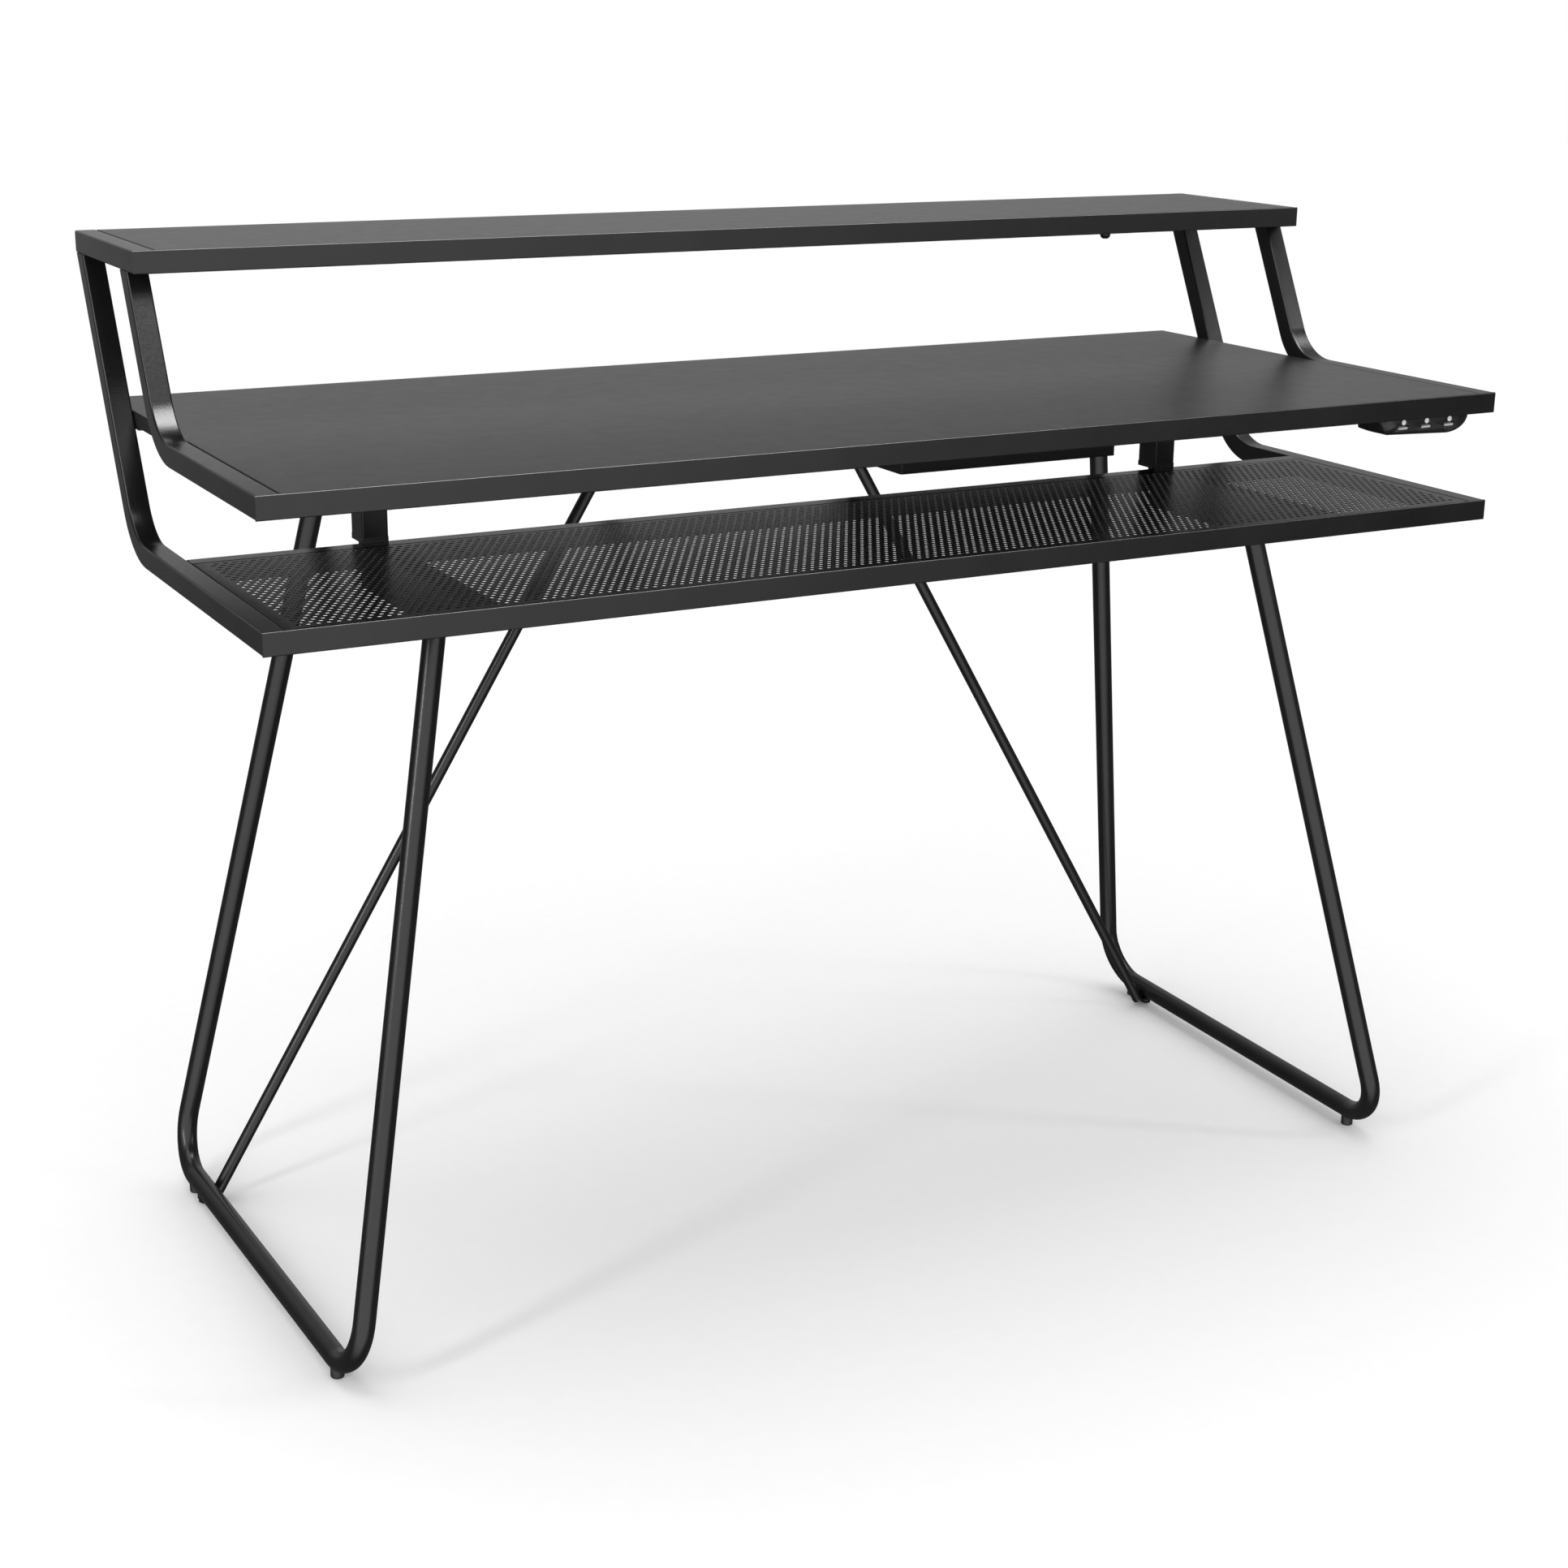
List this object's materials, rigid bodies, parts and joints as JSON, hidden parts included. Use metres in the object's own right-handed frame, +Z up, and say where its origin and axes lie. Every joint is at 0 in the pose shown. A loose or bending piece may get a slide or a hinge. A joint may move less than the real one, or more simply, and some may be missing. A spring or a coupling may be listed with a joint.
{
  "type": "computer desk",
  "caption": "Steel-framed computer desk: raised rear shelf, worktop and fixed perforated keyboard tray on splayed bent-tube legs with diagonal braces.",
  "frame": {"origin": "on the floor, under the middle of the desk's outline", "axes": "+X to the right along the desk, +Y to the back, +Z up"},
  "size_m": [1.2, 0.5062, 0.9175],
  "materials": {
    "black_powder_coat": "satin",
    "coated_sheet_steel": "satin",
    "black_laminated_board": "satin laminate",
    "edge_banding": "satin",
    "black_plastic": "matte",
    "glide_plastic": "matte",
    "black_fasteners": "black oxide",
    "hub_plastic": "satin",
    "white_plastic": "gloss",
    "plated_steel": "bright",
    "circuit_board": "satin"
  },
  "bodies": {
    "root": {"beam_end_plugs": "black_plastic", "brace_lower_bolts": "black_fasteners", "brace_upper_bolts": "black_fasteners", "cable_box": "black_powder_coat", "cable_box_screws": "black_fasteners", "floor_glides": "glide_plastic", "hub_circuit_board": "circuit_board", "hub_housing": "hub_plastic", "hub_lid": "hub_plastic", "hub_port_marks": "white_plastic", "hub_power_inlet": "hub_plastic", "hub_screws": "black_fasteners", "left_brace_rod": "black_powder_coat", "left_front_side_tube": "black_powder_coat", "left_leg_bar": "black_powder_coat", "left_leg_tube": "black_powder_coat", "left_post": "black_powder_coat", "left_rear_side_tube": "black_powder_coat", "left_riser_side_rail": "black_powder_coat", "left_tray_cross_rail": "black_powder_coat", "left_worktop_beam": "black_powder_coat", "leg_bar_bolts": "black_fasteners", "post_feet": "black_powder_coat", "right_brace_rod": "black_powder_coat", "right_front_side_tube": "black_powder_coat", "right_leg_bar": "black_powder_coat", "right_leg_tube": "black_powder_coat", "right_post": "black_powder_coat", "right_rear_side_tube": "black_powder_coat", "right_riser_side_rail": "black_powder_coat", "right_tray_cross_rail": "black_powder_coat", "right_worktop_beam": "black_powder_coat", "riser_front_rail": "black_powder_coat", "riser_panel": "black_laminated_board", "riser_rail_end_caps": "black_plastic", "riser_rear_rail": "black_powder_coat", "riser_screws": "black_fasteners", "riser_stud": "black_fasteners", "tray_front_rail": "black_powder_coat", "tray_perforated_sheet": "coated_sheet_steel", "tray_rear_rail": "black_powder_coat", "usb_socket_shells": "plated_steel", "usb_socket_tongues": "white_plastic", "worktop_brackets": "black_powder_coat", "worktop_edge_band": "edge_banding", "worktop_front_rail": "black_powder_coat", "worktop_panel": "black_laminated_board", "worktop_rear_cross_tube": "black_powder_coat", "worktop_screws": "black_fasteners"}
  },
  "joints": []
}
